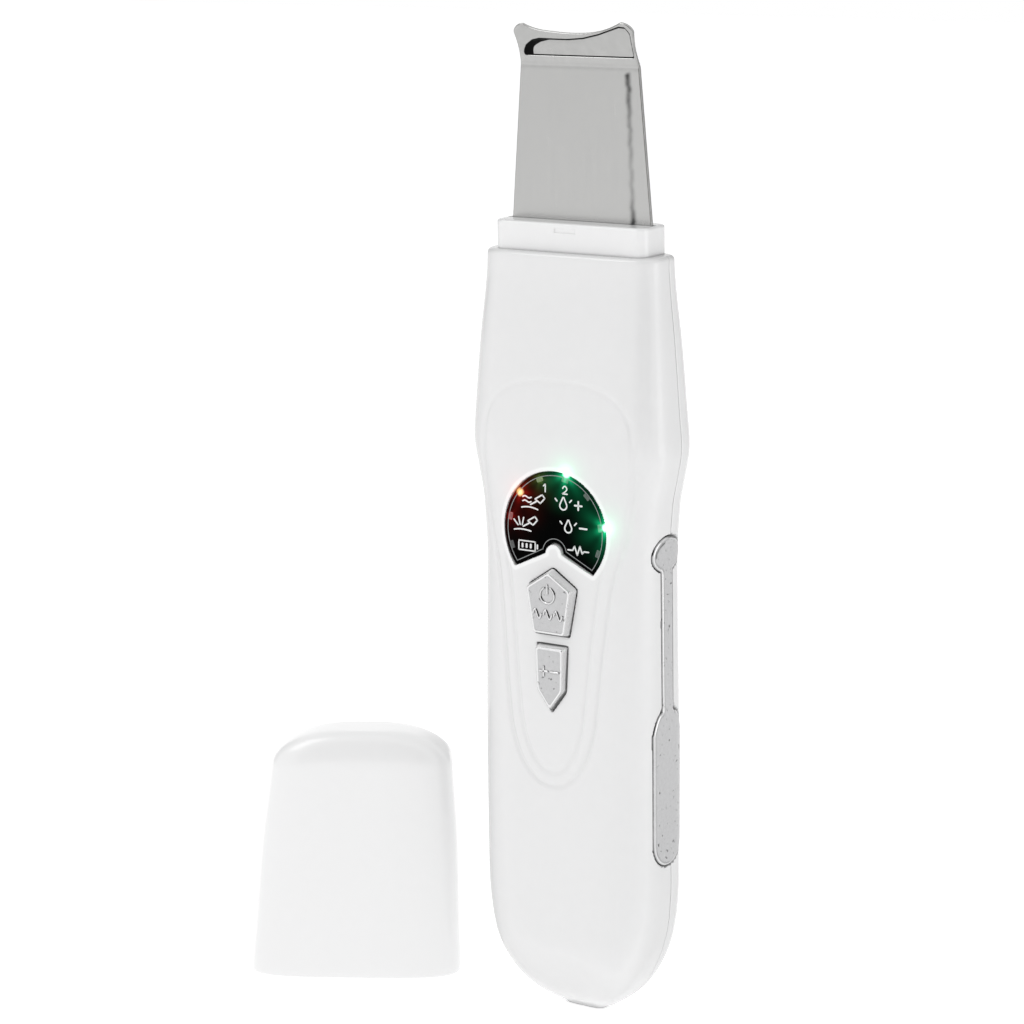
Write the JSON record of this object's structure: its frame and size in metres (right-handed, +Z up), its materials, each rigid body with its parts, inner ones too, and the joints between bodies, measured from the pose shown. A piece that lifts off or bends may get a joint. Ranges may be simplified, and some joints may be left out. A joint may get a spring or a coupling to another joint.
{
  "type": "skin scrubber",
  "caption": "Handheld ultrasonic skin scrubber with a bent steel spatula blade, fan-shaped display, chrome buttons and side contacts, and a loose cap standing beside it.",
  "frame": {"origin": "centre of the small flat foot at the bottom end of the device, on the level the cap stands on", "axes": "+Z up the device towards the blade, -Y out of the front with the display and buttons, +X to the right seen from the front"},
  "size_m": [0.089, 0.0288, 0.1831],
  "materials": {
    "shell_white": "glossy white moulded ABS",
    "inner_white": "satin white moulded plastic",
    "blade_steel": "finely ground and polished stainless steel",
    "chrome_plate": "bright chrome plating",
    "window_black": "gloss black acrylic window with white symbols",
    "lamp_off": "unlit diffusing lamp",
    "lamp_red": "lit red lamp",
    "lamp_green": "lit green lamp",
    "board_green": "green solder mask on glass-fibre board",
    "switch_black": "black moulded switch housing",
    "seal_rubber": "grey silicone and foam",
    "horn_aluminium": "turned aluminium",
    "piezo_ceramic": "fired piezo ceramic",
    "screw_steel": "zinc plated steel",
    "battery_foil": "laminated aluminium pouch",
    "lead_red": "red wire insulation",
    "lead_black": "black wire insulation",
    "lead_yellow": "yellow wire insulation"
  },
  "bodies": {
    "device": {"front_shell": "shell_white", "rear_shell": "shell_white", "shell_screw_1": "screw_steel", "shell_screw_2": "screw_steel", "shell_screw_3": "screw_steel", "shell_screw_4": "screw_steel", "neck_collar": "shell_white", "blade_seal": "seal_rubber", "scraper_blade": "blade_steel", "display_window": "window_black", "light_guide": "inner_white", "led_1": "lamp_off", "led_2": "lamp_off", "led_3": "lamp_red", "led_4": "lamp_off", "led_5": "lamp_green", "led_6": "lamp_off", "led_7": "lamp_green", "led_8": "lamp_off", "main_board": "board_green", "power_switch": "switch_black", "mode_switch": "switch_black", "side_electrode_left": "chrome_plate", "side_electrode_right": "chrome_plate", "transducer_horn": "horn_aluminium", "piezo_ring_1": "piezo_ceramic", "piezo_ring_2": "piezo_ceramic", "rear_mass": "screw_steel", "prestress_bolt": "screw_steel", "horn_sleeve": "seal_rubber", "blade_screw_1": "screw_steel", "blade_screw_2": "screw_steel", "battery": "battery_foil", "battery_pad": "seal_rubber", "charging_socket": "screw_steel", "charge_board": "board_green", "battery_lead_red": "lead_red", "battery_lead_black": "lead_black", "transducer_lead_red": "lead_red", "transducer_lead_black": "lead_black", "contact_lead_left": "lead_yellow", "contact_lead_right": "lead_yellow"},
    "power_key": {"power_button": "chrome_plate"},
    "power_contact": {"power_plunger": "inner_white"},
    "mode_key": {"mode_button": "chrome_plate"},
    "mode_contact": {"mode_plunger": "inner_white"},
    "cap": {"protective_cap": "shell_white"}
  },
  "joints": [
    {"name": "power_press", "type": "slide", "parent": "device", "child": "power_key", "axis": [0, 1, 0], "range_m": [0, 0.0004]},
    {"name": "power_contact_press", "type": "slide", "parent": "device", "child": "power_contact", "axis": [0, 1, 0], "range_m": [0, 0.0004]},
    {"name": "mode_press", "type": "slide", "parent": "device", "child": "mode_key", "axis": [0, 1, 0], "range_m": [0, 0.0004]},
    {"name": "mode_contact_press", "type": "slide", "parent": "device", "child": "mode_contact", "axis": [0, 1, 0], "range_m": [0, 0.0004]},
    {"name": "cap_lift", "type": "slide", "parent": "device", "child": "cap", "axis": [0, 0, 1], "range_m": [0, 0.06]}
  ],
  "couplings": [
    {"joint": "power_contact_press", "follows": "power_press", "ratio": 1},
    {"joint": "mode_contact_press", "follows": "mode_press", "ratio": 1}
  ]
}
